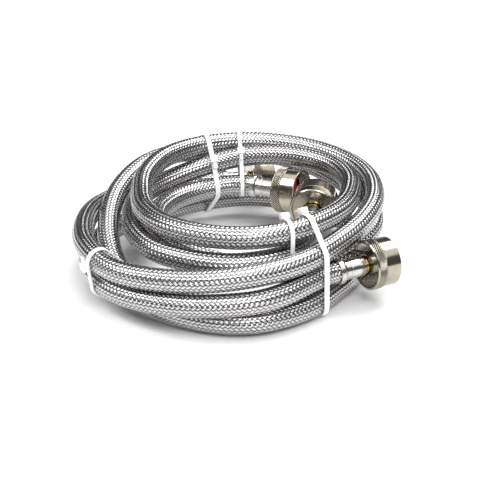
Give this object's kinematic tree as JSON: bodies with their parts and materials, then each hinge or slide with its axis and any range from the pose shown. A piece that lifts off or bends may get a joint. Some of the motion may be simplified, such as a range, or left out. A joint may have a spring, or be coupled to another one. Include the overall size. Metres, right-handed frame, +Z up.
{
  "type": "braided supply line",
  "caption": "Stainless-braided water supply hoses for a washing machine, coiled and tied, with swivel hose-thread nuts on their ends.",
  "frame": {"origin": "on the surface that the coil lies on, under the middle of the whole part's box", "axes": "+Z up through the coil; +X towards the outer end of hose 1, -Y towards the side where the coil leans lowest"},
  "size_m": [0.2184, 0.2634, 0.0699],
  "materials": {
    "braid": "bright woven stainless wire",
    "liner": "matte",
    "ferrule": "polished stainless",
    "tailpiece": "machined",
    "nut": "nickel plated, slightly warm",
    "washer_red": "satin",
    "washer_black": "satin",
    "tie": "slightly translucent nylon"
  },
  "bodies": {
    "hoses": {"hose_1_braid": "braid", "hose_1_liner": "liner", "hose_2_braid": "braid", "hose_2_liner": "liner", "ferrule_a": "ferrule", "tailpiece_a": "tailpiece", "washer_a": "washer_red", "ferrule_b": "ferrule", "tailpiece_b": "tailpiece", "washer_b": "washer_black", "ferrule_c": "ferrule", "tailpiece_c": "tailpiece", "washer_c": "washer_red", "ferrule_d": "ferrule", "tailpiece_d": "tailpiece", "washer_d": "washer_black", "tie_1": "tie", "tie_2": "tie", "tie_3": "tie", "tie_4": "tie", "tie_5": "tie"},
    "nut_a": {"nut_a": "nut"},
    "nut_b": {"nut_b": "nut"},
    "nut_c": {"nut_c": "nut"},
    "nut_d": {"nut_d": "nut"}
  },
  "joints": [
    {"name": "nut_a_swivel", "type": "hinge", "parent": "hoses", "child": "nut_a", "pos_m": [0.04058, 0.03133, 0.0383], "axis": [0.8772, -0.4767, 0.0572], "continuous": true},
    {"name": "nut_b_swivel", "type": "hinge", "parent": "hoses", "child": "nut_b", "pos_m": [0.05639, 0.00025, 0.03995], "axis": [0.1813, 0.9722, 0.1483], "continuous": true},
    {"name": "nut_c_swivel", "type": "hinge", "parent": "hoses", "child": "nut_c", "pos_m": [0.09382, -0.06997, 0.02675], "axis": [0.8858, 0.464, 0], "continuous": true},
    {"name": "nut_d_swivel", "type": "hinge", "parent": "hoses", "child": "nut_d", "pos_m": [0.01882, 0.11356, 0.01753], "axis": [0.96, 0.28, -0.008], "continuous": true}
  ]
}
